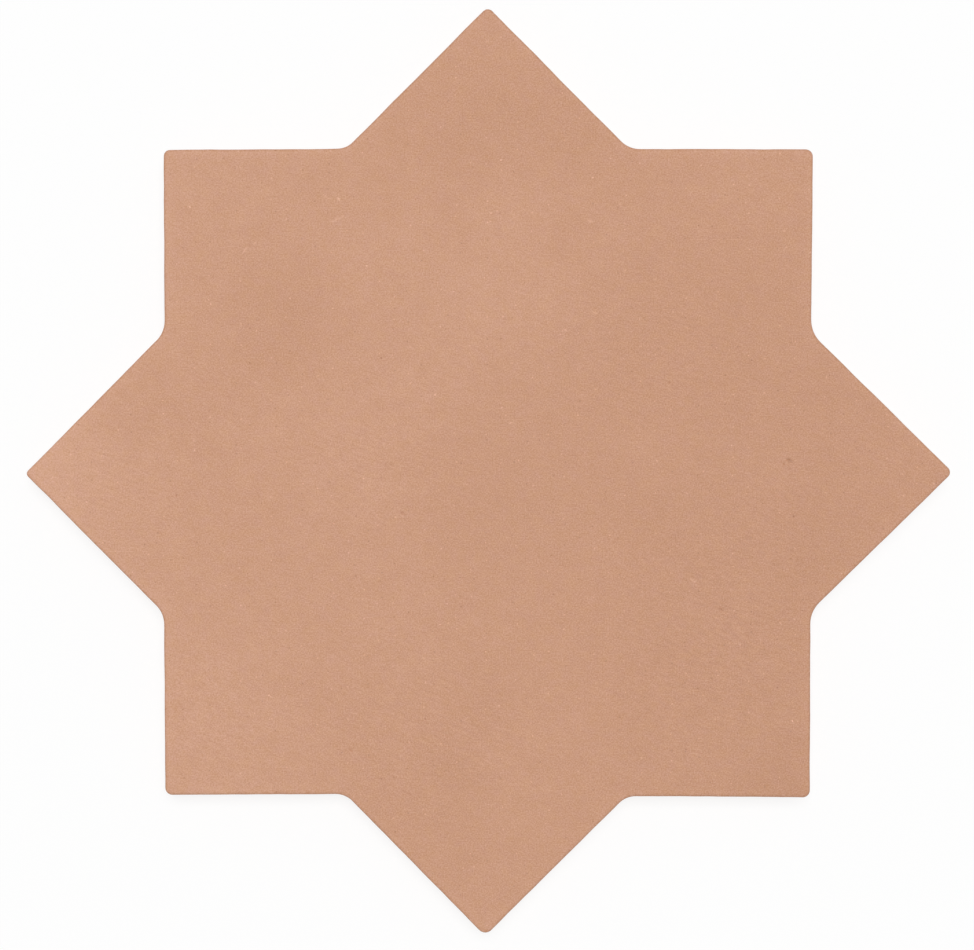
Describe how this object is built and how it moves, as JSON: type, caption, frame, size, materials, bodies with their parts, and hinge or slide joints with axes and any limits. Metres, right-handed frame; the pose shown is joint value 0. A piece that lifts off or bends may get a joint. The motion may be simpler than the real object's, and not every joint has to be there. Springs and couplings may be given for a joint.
{
  "type": "star-shaped porcelain tile",
  "caption": "Flat star-shaped porcelain tile with rounded points and notches, a matt clay-coloured face with eased edges and a grooved back, for bedding on a floor or wall.",
  "frame": {"origin": "centre of the back, on the plane that is bedded on the floor or wall", "axes": "+Z out of the face; +Y to the point at the top of the picture and +X to the point at its right"},
  "size_m": [0.168, 0.168, 0.009],
  "materials": {
    "matt_porcelain": "matte"
  },
  "bodies": {
    "root": {"star_tile": "matt_porcelain"}
  },
  "joints": []
}
